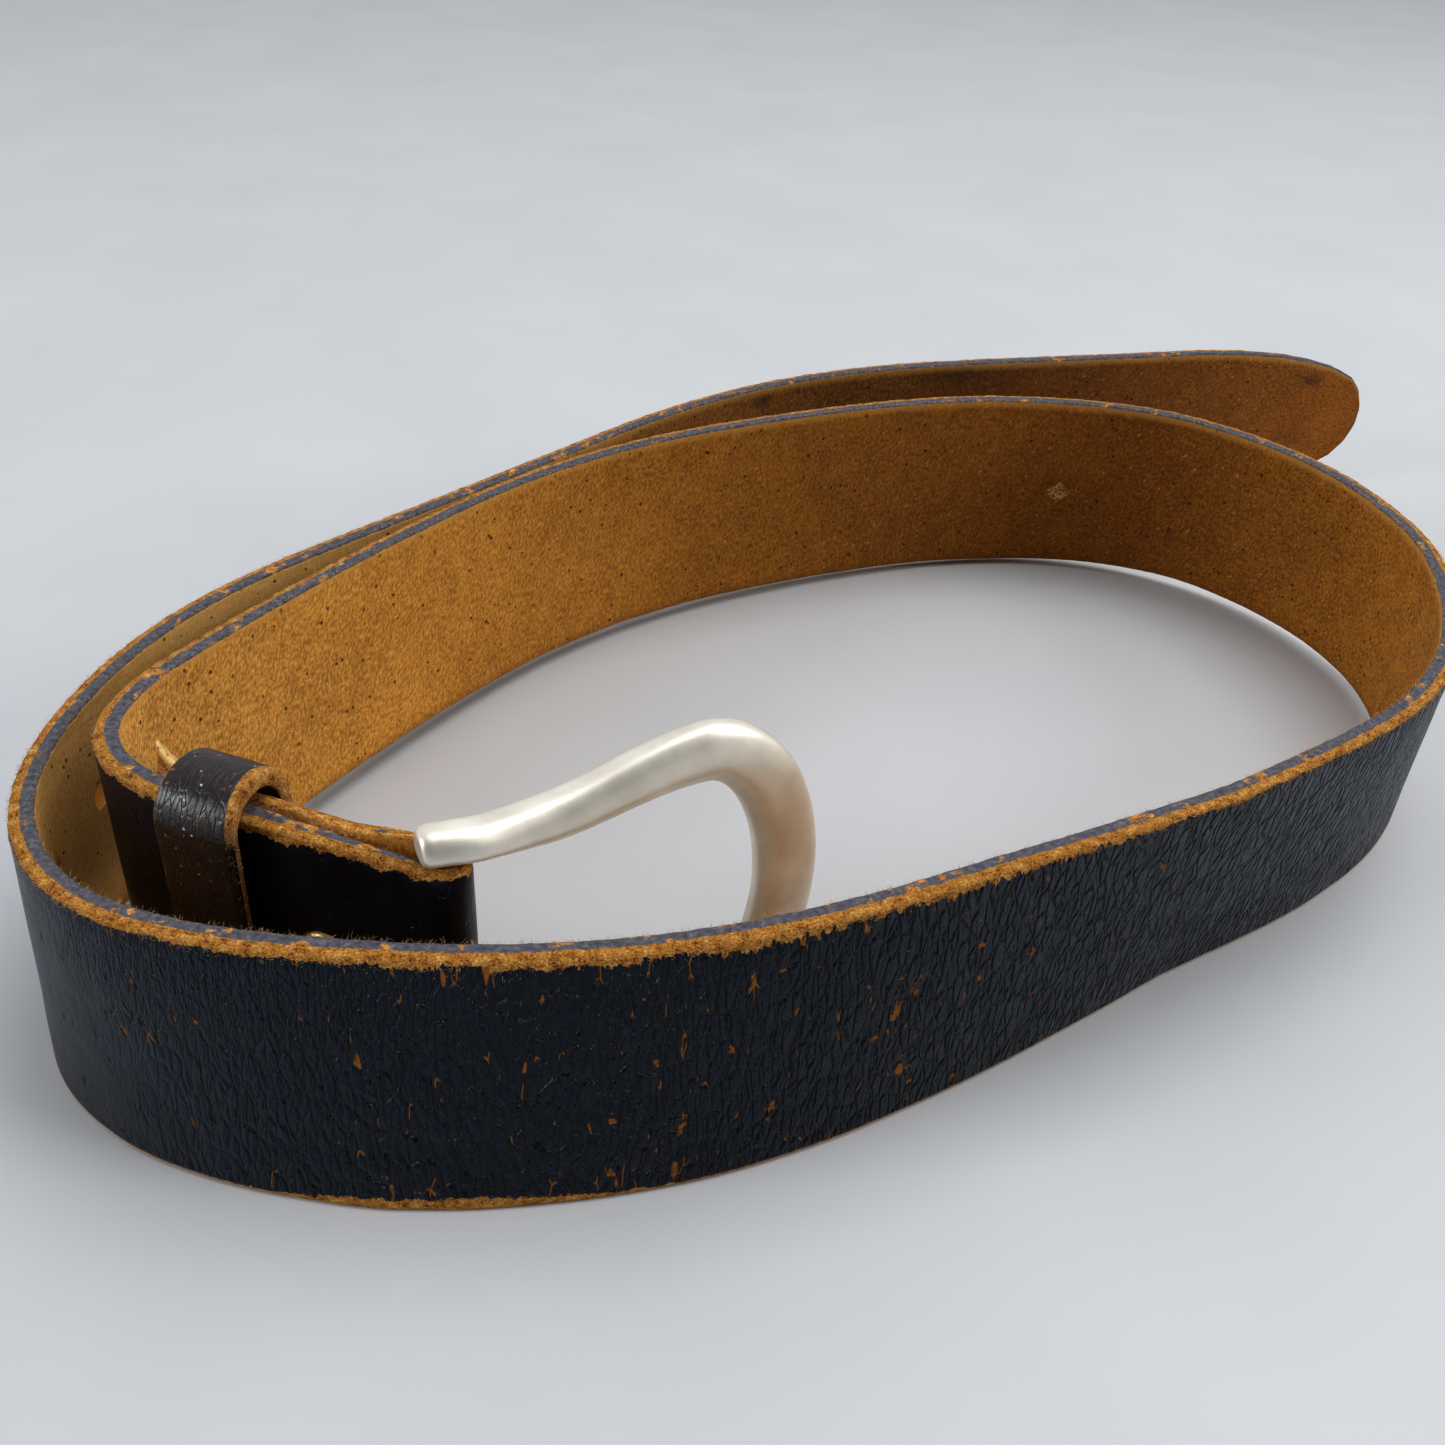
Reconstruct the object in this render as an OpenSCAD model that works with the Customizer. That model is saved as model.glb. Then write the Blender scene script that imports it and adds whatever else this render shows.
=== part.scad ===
// Leather dress belt standing on its edge in a loose coil: strap with a riveted turned end,
// horseshoe buckle with heel bar and prong, and a stapled sliding keeper.
// Millimetres, +Z up, origin at the bottom centre of the whole belt.

/* [Strap] */
// height of the strap on its edge
strap_w = 38; // [34:0.5:40]
// thickness of the strap
strap_t = 3.4; // [3:0.1:3.6]
// thickness of the skived leather round the heel bar
fold_t = 2.05; // [1.8:0.05:2.2]
// length of the turned back end
flap_len = 46; // [40:0.5:46]
// spacing of the cross sections along the strap
section_step = 4; // [3:1:6]

/* [Holes] */
// diameter of a size hole
hole_d = 4; // [3:0.25:5]
// spacing of the row of size holes
hole_pitch = 25; // [20:1:25]
// distance from the tip to the first size hole
first_hole = 110; // [95:5:120]
// distance from the tip to the first of two later punched holes
punched_hole = 330; // [320:1:340]

/* [Buckle] */
// diameter of the heel bar
bar_d = 3; // [2.6:0.1:3.2]
// heel bar centre to the outer front edge
buckle_len = 51; // [49:0.5:55]
// height of the strap above the ground at the buckle
buckle_rise = 6; // [5.75:0.25:7]
// width of the front bar of the frame
front_w = 9.2; // [8:0.2:9.8]
// thickness of the front bar of the frame
front_t = 4.8; // [4:0.2:5.2]
// direction of the frame in plan
frame_heading = 27.5; // [26:0.5:30]

/* [Prong] */
// height of the prong at its root
prong_h = 4.6; // [4:0.2:5.4]
// thickness of the prong
prong_t = 2.4; // [2:0.1:2.6]
// direction of the prong in plan
prong_heading = 9; // [8:0.5:10]

/* [Keeper] */
// width of the keeper along the strap
keeper_w = 11; // [9:0.5:12]
// thickness of the keeper leather
keeper_t = 2.2; // [1.8:0.1:2.4]
// heel bar centre to the keeper centre
keeper_pos = 30.5; // [30:0.25:31]

/* [Rivets] */
// diameter of the rivet heads
rivet_d = 9; // [8:0.25:9.5]
// heel bar centre to the first rivet
rivet_pos = 15.6; // [15.2:0.2:16]
// spacing of the two rivets
rivet_pitch = 19; // [18:0.5:19.5]

/* [Hidden] */

// height of the middle of the buckle, and how far the strap hangs above the ground there
mid_z = strap_w / 2 + buckle_rise;
lift_len = 438;
// heel bar in plan, and the direction of the straight end behind it
bar_xy = [-62.7, -104.2];
end_heading = 160;
fold_r = bar_d / 2 + 0.05;
nose_r = fold_r + fold_t;
layer_gap = 0.1;
chamfer = 0.5;

// the coil: each stretch has a length and the angle it turns clockwise
stretch = [48, 15, 85, 50, 65, 130, 55, 85, 95, 40, 70, 80, 90, 108];
turn = [-1, 93, 12, 22, 17, 121, 41, 5, 44, 69, 47, -2, 39, -5];
soften = 14;

function total(v, n) = n <= 0 ? 0 : v[n - 1] + total(v, n - 1);
function blend(k) = let (c = min(1, max(0, k))) c * c * (3 - 2 * c);

strap_len = total(stretch, len(stretch));
heading_table = concat(
    [[-100, end_heading]],
    [for (i = [0:len(stretch)]) [total(stretch, i), end_heading - total(turn, i)]],
    [[strap_len + 100, end_heading - total(turn, len(turn))]]
);

function raw_heading(t) = lookup(t, heading_table);
function heading(t) = (raw_heading(t - soften) + 2 * raw_heading(t) + raw_heading(t + soften)) / 4;
function lift(t) = buckle_rise * pow(max(0, 1 - t / lift_len), 1.5);

// a point of the turned end: distance from the heel bar along the strap line, and across it
function at_end(u, v) = [
    bar_xy[0] - u * cos(end_heading) + v * sin(end_heading),
    bar_xy[1] - u * sin(end_heading) - v * cos(end_heading)
];

// plan position of the grain face, every two millimetres from the heel bar to the tip
walk = 2;
line = [
    for (
        t = 0,
        x = at_end(0, -nose_r)[0],
        y = at_end(0, -nose_r)[1];
        t <= strap_len;
        x = x + walk * cos(heading(t + walk / 2)),
        y = y + walk * sin(heading(t + walk / 2)),
        t = t + walk
    ) [t, x, y]
];
line_x = [for (p = line) [p[0], p[1]]];
line_y = [for (p = line) [p[0], p[2]]];

// a point of the strap: distance along it and depth behind the grain face
function on_strap(t, depth) = [
    lookup(t, line_x) + depth * sin(heading(t)),
    lookup(t, line_y) - depth * cos(heading(t))
];

function layer_t(t) = lookup(t, [[0, fold_t], [8, fold_t + 0.15], [30, strap_t]]);
function flap_t(t) = lookup(t, [[0, fold_t], [12, 2.2], [flap_len - 2, 2.2], [flap_len, 1.2]]);
function flap_inner(t) = let (k = blend((t - 1) / 13))
    (1 - k) * fold_r + k * (layer_t(t) - nose_r + layer_gap);

// half height of the pointed end, by distance from the tip
tip_shape = [[0, 0.8], [0.6, 3.6], [2, 7], [5, 10.3], [11, 13.2], [18, 15.3], [27, 17.2], [38, 18.5]];
function half_w(t) = strap_len - t > 50
    ? strap_w / 2
    : strap_w / 38 * lookup(strap_len - t, concat(tip_shape, [[50, 19]]));

// one cross section: grain point, flesh point, middle height and half height
function ring(g, f, mid, half) = let (
    n = (f - g) / norm(f - g),
    c = min(chamfer, norm(f - g) / 4, half / 4),
    ga = g + c * n,
    fa = f - c * n
) [
    [fa[0], fa[1], mid - half],
    [f[0], f[1], mid - half + c],
    [f[0], f[1], mid + half - c],
    [fa[0], fa[1], mid + half],
    [ga[0], ga[1], mid + half],
    [g[0], g[1], mid + half - c],
    [g[0], g[1], mid - half + c],
    [ga[0], ga[1], mid - half]
];

function end_mid(t) = strap_w / 2 + lift(t);

flap_rings = [
    for (t = [flap_len:-2:1])
        ring(on_strap(t, nose_r + flap_inner(t) + flap_t(t)), on_strap(t, nose_r + flap_inner(t)),
            end_mid(t), strap_w / 2)
];
nose_rings = [
    for (a = [90:-15:-75])
        ring(at_end(nose_r * cos(a), nose_r * sin(a)), at_end(fold_r * cos(a), fold_r * sin(a)),
            end_mid(0), strap_w / 2)
];
run_stops = concat(
    [for (t = [0:section_step:strap_len - 40.1]) t],
    [for (s = [40, 34, 28, 23, 18, 14, 11, 8, 5, 3.2, 2, 1.2, 0.6, 0.2]) strap_len - s]
);
run_rings = [
    for (t = run_stops)
        ring(on_strap(t, 0), on_strap(t, layer_t(t)), strap_w / 2 + lift(t), half_w(t))
];

// skin over a row of closed cross sections
module skin(rings) {
    n = len(rings[0]);
    last = len(rings) - 1;
    sides = [
        for (i = [0:last - 1], j = [0:n - 1], k = [0, 1])
            k == 0
                ? [i * n + j, i * n + (j + 1) % n, (i + 1) * n + j]
                : [i * n + (j + 1) % n, (i + 1) * n + (j + 1) % n, (i + 1) * n + j]
    ];
    polyhedron(
        points = [for (r = rings, p = r) p],
        faces = concat(
            [[for (j = [n - 1:-1:0]) j]],
            sides,
            [[for (j = [0:n - 1]) last * n + j]]
        )
    );
}

// moves children to the heel bar, x away from the strap and y across it
module at_bar(height) {
    translate([bar_xy[0], bar_xy[1], height])
        rotate([0, 0, end_heading - 180])
            children();
}

module strap() {
    color("#20232c")
        difference() {
            skin(concat(flap_rings, nose_rings, run_rings));
            prong_slot();
            for (u = [rivet_pos, rivet_pos + rivet_pitch])
                rivet_space(u);
            for (i = [0:4])
                size_hole(strap_len - first_hole - i * hole_pitch, strap_w / 2);
            for (i = [0, 1])
                size_hole(strap_len - punched_hole - i * 19, strap_w / 2 + 3);
        }
}

module prong_slot() {
    slot_h = prong_h + 2.6;
    at_bar(end_mid(0)) {
        translate([-9, 0, 0])
            rotate([90, 0, 0])
                cylinder(h = 12, d = slot_h, center = true, $fn = 48);
        translate([-9, -6, -slot_h / 2])
            cube([14, 12, slot_h]);
    }
}

module rivet_space(u) {
    at_bar(end_mid(u))
        translate([-u, 0, 0])
            rotate([90, 0, 0])
                cylinder(h = 14, d = rivet_post_d, center = true, $fn = 48);
}

module size_hole(t, z) {
    p = on_strap(t, strap_t / 2);
    translate([p[0], p[1], z])
        rotate([0, 90, heading(t) - 90])
            cylinder(h = strap_t + 3, d = hole_d, center = true, $fn = 48);
}

// rivets: a post with its head on the grain side, closed by a cap on the turned end
rivet_post_d = 3;
rivet_head_t = 1.1;
rivet_bore_d = 1.8;

module rivet_post(u) {
    front = nose_r;
    back = flap_inner(u) + flap_t(u);
    color("#b58a4a")
        at_bar(end_mid(u))
            translate([-u, 0, 0])
                rotate([90, 0, 0]) {
                    translate([0, 0, front])
                        cylinder(h = rivet_head_t - 0.4, d = rivet_d, $fn = 64);
                    translate([0, 0, front + rivet_head_t - 0.4])
                        cylinder(h = 0.4, d1 = rivet_d, d2 = rivet_d - 1.4, $fn = 64);
                    translate([0, 0, -back])
                        cylinder(h = front + back, d = rivet_post_d, $fn = 48);
                    translate([0, 0, -back - 0.6])
                        cylinder(h = 0.7, d = rivet_bore_d, $fn = 32);
                }
}

module rivet_cap(u) {
    back = flap_inner(u) + flap_t(u);
    color("#b58a4a")
        at_bar(end_mid(u))
            translate([-u, back, 0])
                rotate([-90, 0, 0])
                    difference() {
                        union() {
                            cylinder(h = rivet_head_t - 0.4, d = rivet_d, $fn = 64);
                            translate([0, 0, rivet_head_t - 0.4])
                                cylinder(h = 0.4, d1 = rivet_d, d2 = rivet_d - 1.4, $fn = 64);
                        }
                        translate([0, 0, -0.1])
                            cylinder(h = 0.7, d = rivet_bore_d, $fn = 32);
                    }
}

// keeper: a leather band round both layers, butted at the back and closed by a staple
keeper_front = -nose_r - 1.6;
keeper_back = flap_inner(keeper_pos) + flap_t(keeper_pos) + 1.6;
keeper_half = strap_w / 2 + 2.5;

module rounded_slab(x0, x1, half, r, length) {
    translate([0, 0, -length / 2])
        linear_extrude(length)
            union() {
                translate([x0 + r, -half])
                    square([x1 - x0 - 2 * r, 2 * half]);
                translate([x0, -half + r])
                    square([x1 - x0, 2 * half - 2 * r]);
                for (x = [x0 + r, x1 - r], y = [-half + r, half - r])
                    translate([x, y])
                        circle(r, $fn = 48);
            }
}

module keeper_loop() {
    color("#2a2a30")
        at_bar(end_mid(keeper_pos))
            translate([-keeper_pos, 0, 0])
                rotate([0, -90, 0])
                    rotate([0, 0, 90])
                        difference() {
                            rounded_slab(keeper_front - keeper_t, keeper_back + keeper_t,
                                keeper_half + keeper_t, 4.6, keeper_w);
                            rounded_slab(keeper_front, keeper_back,
                                keeper_half, 2.4, keeper_w + 1);
                            translate([keeper_back - 0.5, -0.15, -keeper_w])
                                cube([keeper_t + 1, 0.3, 2 * keeper_w]);
                        }
}

staple_d = 0.9;
staple_half = 4;

module keeper_staple() {
    color("#9a9a98")
        at_bar(end_mid(keeper_pos))
            translate([-keeper_pos, keeper_back + keeper_t + staple_d / 2, 0]) {
                cylinder(h = 2 * staple_half + staple_d, d = staple_d, center = true, $fn = 24);
                for (s = [-1, 1])
                    translate([0, 0, s * staple_half])
                        rotate([90, 0, 0])
                            cylinder(h = keeper_t, d = staple_d, $fn = 24);
            }
}

// buckle frame: two side bars from the heel and a rounded front, bowed in its length;
// it stands on its lower corner, so the front rides a little higher than the heel
heel_half = strap_w / 2 + 2.2;
front_half = strap_w / 2 + buckle_rise - 2;
front_rise = 2.4;
side_len = 33.5;
heel_w = 3.9;
knuckle_r = 2.8;
knuckle_v = -0.6;
front_reach = buckle_len - side_len - front_w / 2;

// a station: along the frame, height from the middle, and direction of travel
function side_station(a) = [
    a,
    heel_half - 0.4 * blend(a / 15) + (front_half - heel_half + 0.4) * blend((a - 13) / 19),
    0
];
function front_station(q) = [
    side_len + front_reach * pow(sin(q), 1.1),
    front_half * pow(max(0, cos(q)), 1.1),
    atan2(front_half * sin(q), front_reach * cos(q))
];

half_stations = concat(
    [for (a = [0:3:side_len - 2]) side_station(a)],
    [for (q = [0:7.5:90]) front_station(q)]
);
stations = concat(
    half_stations,
    [
        for (i = [len(half_stations) - 2:-1:0])
            [half_stations[i][0], -half_stations[i][1], 180 - half_stations[i][2]]
    ]
);

function bar_width(a) = lookup(a, [[5, heel_w], [14, 5.8], [side_len, 8], [46, front_w]]);
function bar_depth(a) = lookup(a, [[0, 6], [12, 5.6], [side_len, 5.2], [46, front_t]]);
function bow(a) = let (k = a / buckle_len)
    -1.4 * (1 - k) * (1 - 2 * k) - 0.8 * k * (1 - k) - k * (2 * k - 1);
function rise(a) = front_rise * blend((a - 4) / 38);

// rounded cross section of the frame, softened oblong with sixteen corners
function frame_ring(s) = [
    for (k = [0:15]) let (
        w = 360 * (k + 0.5) / 16,
        c = sign(cos(w)) * pow(abs(cos(w)), 0.6),
        d = sign(sin(w)) * pow(abs(sin(w)), 0.7),
        e = c * bar_width(s[0]) / 2,
        out = [sin(s[2]), cos(s[2])]
    ) [
        s[0] + e * out[0],
        bow(s[0]) + d * bar_depth(s[0]) / 2,
        s[1] + e * out[1] + rise(s[0])
    ]
];

module in_frame(angle) {
    translate([bar_xy[0], bar_xy[1], mid_z])
        rotate([0, 0, angle])
            children();
}

bar_half = heel_half + heel_w / 2 - 0.9;

module buckle_frame() {
    color("#b9b4aa")
        in_frame(frame_heading)
            difference() {
                union() {
                    skin([for (s = stations) frame_ring(s)]);
                    for (s = [-1, 1])
                        translate([0, knuckle_v, s * heel_half])
                            cylinder(h = heel_w, r = knuckle_r, center = true, $fn = 64);
                }
                cylinder(h = 2 * bar_half, d = bar_d, center = true, $fn = 64);
            }
}

module heel_bar() {
    color("#8d8d90")
        in_frame(frame_heading)
            cylinder(h = 2 * bar_half, d = bar_d, center = true, $fn = 64);
}

// prong: an eye round the heel bar and a tapered tongue with a rounded end
prong_len = buckle_len - 4;
eye_r = fold_r + 1.65;

module prong() {
    side = prong_t / 2;
    color("#b9b4aa")
        in_frame(prong_heading)
            difference() {
                intersection() {
                    translate([0, 0, -prong_h / 2])
                        linear_extrude(prong_h)
                            union() {
                                circle(eye_r, $fn = 64);
                                translate([0, -side])
                                    square([prong_len - side, prong_t]);
                                translate([prong_len - side, 0])
                                    circle(side, $fn = 32);
                            }
                    rotate([90, 0, 0])
                        linear_extrude(4 * eye_r, center = true)
                            union() {
                                polygon([
                                    [-5, -prong_h / 2],
                                    [8, -prong_h / 2],
                                    [prong_len - 1.8, -1.8],
                                    [prong_len - 1.8, 1.8],
                                    [8, prong_h / 2],
                                    [-5, prong_h / 2]
                                ]);
                                translate([prong_len - 1.8, 0])
                                    circle(1.8, $fn = 48);
                            }
                }
                cylinder(h = prong_h + 1, r = fold_r, center = true, $fn = 64);
            }
}

strap();
keeper_loop();
keeper_staple();
buckle_frame();
heel_bar();
prong();
rivet_post(rivet_pos);  // rivet_post_1
rivet_cap(rivet_pos);  // rivet_cap_1
rivet_post(rivet_pos + rivet_pitch);  // rivet_post_2
rivet_cap(rivet_pos + rivet_pitch);  // rivet_cap_2
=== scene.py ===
"""A worn leather dress belt standing on its edge in a loose coil, on a plain pale floor."""
import math

import bmesh
import bpy
import numpy as np
from mathutils import Matrix, Vector


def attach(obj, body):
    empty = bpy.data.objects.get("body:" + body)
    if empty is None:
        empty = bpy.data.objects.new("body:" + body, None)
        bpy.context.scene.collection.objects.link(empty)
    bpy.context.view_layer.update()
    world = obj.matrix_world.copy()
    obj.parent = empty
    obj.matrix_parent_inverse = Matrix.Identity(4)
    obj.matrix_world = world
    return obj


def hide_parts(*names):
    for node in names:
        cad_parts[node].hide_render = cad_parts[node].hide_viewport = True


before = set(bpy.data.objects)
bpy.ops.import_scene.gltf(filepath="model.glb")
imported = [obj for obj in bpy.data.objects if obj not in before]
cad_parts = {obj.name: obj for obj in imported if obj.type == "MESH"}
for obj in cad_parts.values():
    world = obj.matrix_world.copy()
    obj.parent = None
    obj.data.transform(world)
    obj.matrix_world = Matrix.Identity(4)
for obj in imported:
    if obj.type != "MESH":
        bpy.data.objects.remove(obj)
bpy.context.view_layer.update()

MM = 0.001
rng = np.random.default_rng(11)

# ---------------- sizes, as in the CAD source (mm)
BAR = np.array([-62.7, -104.2])
END_HEADING = 160.0
FOLD_R, NOSE_R = 1.55, 3.6
STRAP_T, STRAP_W = 3.4, 38.0
FLAP_LEN = 46.0
FLAP_END = FLAP_LEN + 5.0        # the frayed tongue of the turned end
HALF_W = STRAP_W / 2
RISE, LIFT_LEN = 6.0, 438.0      # height of the strap's lower edge at the buckle, and where it comes down
# the path from the heel bar: its stretches, and how far each one turns, in degrees
STRETCH = [48, 15, 85, 50, 65, 130, 55, 85, 95, 40, 70, 80, 90, 108]
TURN = [-1, 93, 12, 22, 17, 121, 41, 5, 44, 69, 47, -2, 39, -5]
SOFTEN = 14.0
LENGTH = float(sum(STRETCH))
MID_Z = HALF_W + RISE
KEEPER_POS, KEEPER_W, KEEPER_T = 30.5, 11.0, 2.2
RIVETS = (15.6, 34.6)
PRONG_HEADING, FRAME_HEADING = 9.0, 27.5

# U points from the strap to the buckle, V from the grain face to the turned end
U = -np.array([math.cos(math.radians(END_HEADING)), math.sin(math.radians(END_HEADING))])
V = np.array([-U[1], U[0]])


# ---------------- the coil in plan
BEYOND = 200      # the path runs on straight past both ends
_cum = np.concatenate([[-BEYOND, 0], np.cumsum(STRETCH), [LENGTH + BEYOND]])
_head = np.concatenate([[END_HEADING] * 2, END_HEADING - np.cumsum(TURN), [END_HEADING - sum(TURN)]])


def raw_heading(t):
    return np.interp(t, _cum, _head)


def heading(t):
    t = np.asarray(t, float)
    return np.radians((raw_heading(t - SOFTEN) + 2 * raw_heading(t) + raw_heading(t + SOFTEN)) / 4)


WALK_STEP = 2.0
_walk = np.arange(0, LENGTH + WALK_STEP, WALK_STEP)
_h = heading(_walk[:-1] + WALK_STEP / 2)
_start = BAR - NOSE_R * V
_px = _start[0] + np.concatenate([[0], np.cumsum(WALK_STEP * np.cos(_h))])
_py = _start[1] + np.concatenate([[0], np.cumsum(WALK_STEP * np.sin(_h))])


def on_strap(t, depth):
    """Plan point at distance t from the heel bar and depth behind the grain face."""
    h = heading(t)
    return np.stack([np.interp(t, _walk, _px) + depth * np.sin(h),
                     np.interp(t, _walk, _py) - depth * np.cos(h)], -1)


def smooth(k):
    k = np.clip(k, 0, 1)
    return k * k * (3 - 2 * k)


def lift(t):
    return RISE * np.maximum(0, 1 - np.asarray(t) / LIFT_LEN) ** 1.5


def layer_t(t):
    """Thickness of the strap, which is shaved thin at the fold."""
    return np.interp(t, [0, 8, 30], [2.05, 2.2, STRAP_T])


def flap_t(t):
    return np.interp(t, [0, 12, FLAP_LEN - 6, FLAP_END], [2.05, 2.2, 1.9, 0.9])


def flap_inner(t):
    """Distance from the bar's middle plane to the near side of the turned end."""
    k = smooth((t - 1) / 13)
    return (1 - k) * FOLD_R + k * (layer_t(t) - NOSE_R + 0.1)


def loose_lift(t):
    """The strap twists at the right bend, so its lower edge hangs clear of the ground there."""
    return 1.6 * smooth((t - 272) / 45) * smooth((408 - t) / 38)


def lean(t):
    """How far the top edge stands inward of the bottom edge."""
    return np.interp(t, [0, 270, 320, 365, 400, 438, 478, 518, 558, 598, 638, 698, 1008],
                     [0, 0, 4.2, 4.4, 0.6, -3.9, -5.2, 0.3, 3.4, 5.3, 2.3, 1.5, 1.2])


# distance from the tip and half width there
TIP = ([0, 0.6, 2, 5, 11, 18, 27, 38, 50], [0.8, 3.6, 7, 10.3, 13.2, 15.3, 17.2, 18.5, 19])


def half_w(t):
    return np.interp(LENGTH - t, *TIP)


# ---------------- smooth random fields
def lattice(i, j, seed):
    n = (i * 374761393 + j * 668265263 + seed * 974711) & 0xFFFFFFFF
    n = ((n ^ (n >> 13)) * 1274126177) & 0xFFFFFFFF
    return ((n ^ (n >> 16)) & 0xFFFF) / 65535.0


def field(x, y, seed=0):
    """Smooth noise from -1 to 1 with features about one unit wide."""
    x, y = np.broadcast_arrays(np.asarray(x, float), np.asarray(y, float))
    i, j = np.floor(x).astype(np.int64), np.floor(y).astype(np.int64)
    a, b = smooth(x - i), smooth(y - j)
    v = (lattice(i, j, seed) * (1 - a) * (1 - b) + lattice(i + 1, j, seed) * a * (1 - b)
         + lattice(i, j + 1, seed) * (1 - a) * b + lattice(i + 1, j + 1, seed) * a * b)
    return 2 * v - 1


def rough(x, y, seed=0):
    return (field(x, y, seed) + 0.5 * field(2.1 * x, 2.1 * y, seed + 1)
            + 0.25 * field(4.3 * x, 4.3 * y, seed + 2)) / 1.5


# ---------------- mesh helpers
def new_object(name, verts, faces, smooth_faces=True):
    mesh = bpy.data.meshes.new(name)
    mesh.from_pydata([tuple(v) for v in (np.asarray(verts) * MM)], [], faces)
    mesh.validate()
    if smooth_faces:
        mesh.polygons.foreach_set("use_smooth", [True] * len(mesh.polygons))
    obj = bpy.data.objects.new(name, mesh)
    bpy.context.scene.collection.objects.link(obj)
    return obj


def tube_faces(rows, cols):
    """Faces of a tube made of rings of points, capped at both ends."""
    faces = []
    for i in range(rows - 1):
        a, b = i * cols, (i + 1) * cols
        for j in range(cols):
            k = (j + 1) % cols
            faces.append((a + j, a + k, b + k, b + j))
    faces.append(tuple(range(cols))[::-1])
    faces.append(tuple((rows - 1) * cols + j for j in range(cols)))
    return faces


def fix_normals(obj):
    bm = bmesh.new()
    bm.from_mesh(obj.data)
    bmesh.ops.recalc_face_normals(bm, faces=bm.faces)
    bm.to_mesh(obj.data)
    bm.free()


def bake(obj):
    """Replace an object's mesh by its modified mesh."""
    graph = bpy.context.evaluated_depsgraph_get()
    mesh = bpy.data.meshes.new_from_object(obj.evaluated_get(graph))
    obj.modifiers.clear()
    old = obj.data
    obj.data = mesh
    bpy.data.meshes.remove(old)
    mesh.name = obj.name


def subdivide(obj):
    m = obj.modifiers.new("smooth", "SUBSURF")
    m.levels = m.render_levels = 1
    bake(obj)


def finish_piece(obj, material, body, slot, *nodes):
    obj.data.materials.clear()
    obj.data.materials.append(material)
    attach(obj, body)
    if nodes:
        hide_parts(*nodes)


# ---------------- material helpers
class Term:
    """A value inside a material, so that masks read as sums and products."""

    def __init__(self, tree, out):
        self.tree, self.out = tree, out

    def math(self, op, *others):
        n = self.tree.nodes.new("ShaderNodeMath")
        n.operation = op
        for i, o in enumerate((self,) + others):
            if isinstance(o, Term):
                self.tree.links.new(o.out, n.inputs[i])
            else:
                n.inputs[i].default_value = o
        return Term(self.tree, n.outputs[0])

    def __add__(self, o):
        return self.math("ADD", o)

    def __sub__(self, o):
        return self.math("SUBTRACT", o)

    def __rsub__(self, o):
        return (self * -1) + o

    def __mul__(self, o):
        return self.math("MULTIPLY", o)

    def top(self, o):
        return self.math("MAXIMUM", o)

    def low(self, o):
        return self.math("MINIMUM", o)

    def step(self, a, b):
        """Rises smoothly from 0 at a to 1 at b."""
        n = self.tree.nodes.new("ShaderNodeMapRange")
        n.interpolation_type = "SMOOTHSTEP"
        self.tree.links.new(self.out, n.inputs[0])
        n.inputs[1].default_value = a
        n.inputs[2].default_value = b
        if a > b:
            n.inputs[1].default_value, n.inputs[2].default_value = b, a
            n.inputs[3].default_value, n.inputs[4].default_value = 1, 0
        return Term(self.tree, n.outputs[0])

    def bump_at(self, centre, width):
        """1 at centre, falling to 0 a width away."""
        return (self - centre).math("ABSOLUTE").step(width, 0)


MIX_COLOUR_SOCKETS = (0, 6, 7)      # factor, A and B of a Mix node set to colour


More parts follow.
